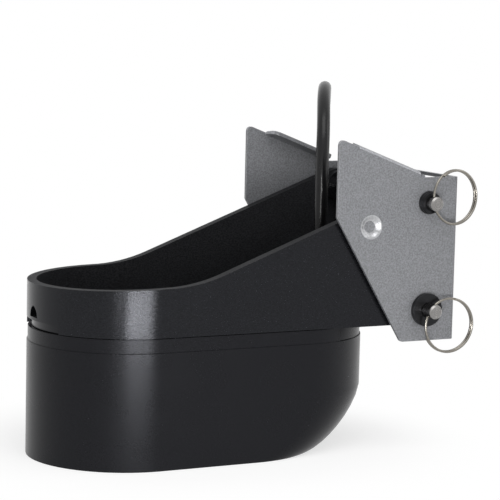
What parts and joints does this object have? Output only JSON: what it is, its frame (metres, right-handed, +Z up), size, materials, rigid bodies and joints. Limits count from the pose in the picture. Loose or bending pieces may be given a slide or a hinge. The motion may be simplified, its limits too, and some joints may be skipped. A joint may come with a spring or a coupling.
{
  "type": "sonar transducer",
  "caption": "Transom sonar transducer: deep rounded body and open-topped shell with two arms, hinged in a folded steel bracket by ring-locked pins, with a coiled cable and round plug",
  "frame": {"origin": "middle of the bracket's transom face, at the centre of its slot pattern", "axes": "X points out of the bracket towards the transom, Y runs across the body, Z is up"},
  "size_m": [0.2614, 0.336, 0.2011],
  "materials": {
    "shell_plastic": "satin black moulded plastic with a fine grain",
    "housing_plastic": "satin black moulded plastic, a little smoother",
    "seal_rubber": "matt black rubber",
    "screw_steel": "plain stainless steel",
    "potting_resin": "dark cast resin",
    "ceramic": "fired ceramic",
    "foam": "pressed cork and foam",
    "board": "glass-fibre board",
    "copper_winding": "enamelled copper wire",
    "cable_jacket": "satin black cable jacket",
    "tie_webbing": "black hook-and-loop strap",
    "plug_plastic": "satin black moulded plastic",
    "contact_gold": "gold plated",
    "bracket_steel": "tumbled stainless sheet",
    "pin_steel": "turned stainless steel",
    "bushing_plastic": "gloss black bearing plastic",
    "ring_wire": "drawn stainless spring wire"
  },
  "bodies": {
    "transducer": {"upper_shell": "shell_plastic", "lower_housing": "housing_plastic", "housing_seal": "seal_rubber", "shell_screws": "screw_steel", "potting": "potting_resin", "low_ceramic": "ceramic", "high_ceramic": "ceramic", "low_foam": "foam", "high_foam": "foam", "tuning_board": "board", "tuning_coil": "copper_winding", "thermistor": "pin_steel", "cable_gland": "seal_rubber", "cable_lead": "cable_jacket", "cable_coil": "cable_jacket", "cable_tail": "cable_jacket", "coil_ties": "tie_webbing", "plug_body": "plug_plastic", "plug_insert": "plug_plastic", "plug_contacts": "contact_gold"},
    "bracket": {"bracket": "bracket_steel", "hinge_pin": "pin_steel", "lock_pin": "pin_steel", "hinge_bushing_near": "bushing_plastic", "hinge_bushing_far": "bushing_plastic", "lock_bushing_near": "bushing_plastic", "lock_bushing_far": "bushing_plastic"},
    "hinge_ring": {"hinge_ring": "ring_wire"},
    "lock_ring": {"lock_ring": "ring_wire"},
    "collar": {"plug_collar": "plug_plastic"}
  },
  "joints": [
    {"name": "kick_up", "type": "hinge", "parent": "transducer", "child": "bracket", "pos_m": [-0.0192, 0, 0.0315], "axis": [0, -1, 0], "range_deg": [0, 42]},
    {"name": "hinge_ring_swing", "type": "hinge", "parent": "bracket", "child": "hinge_ring", "pos_m": [-0.0192, -0.06222, 0.0315], "axis": [-0.2079, 0, 0.9781], "range_deg": [-70, 6]},
    {"name": "lock_ring_swing", "type": "hinge", "parent": "bracket", "child": "lock_ring", "pos_m": [-0.0192, -0.06192, -0.028], "axis": [0.5878, 0, 0.809], "range_deg": [-70, 8]},
    {"name": "collar_turn", "type": "hinge", "parent": "transducer", "child": "collar", "pos_m": [-0.144, 0.08, -0.094], "axis": [0, -1, 0], "continuous": true}
  ]
}
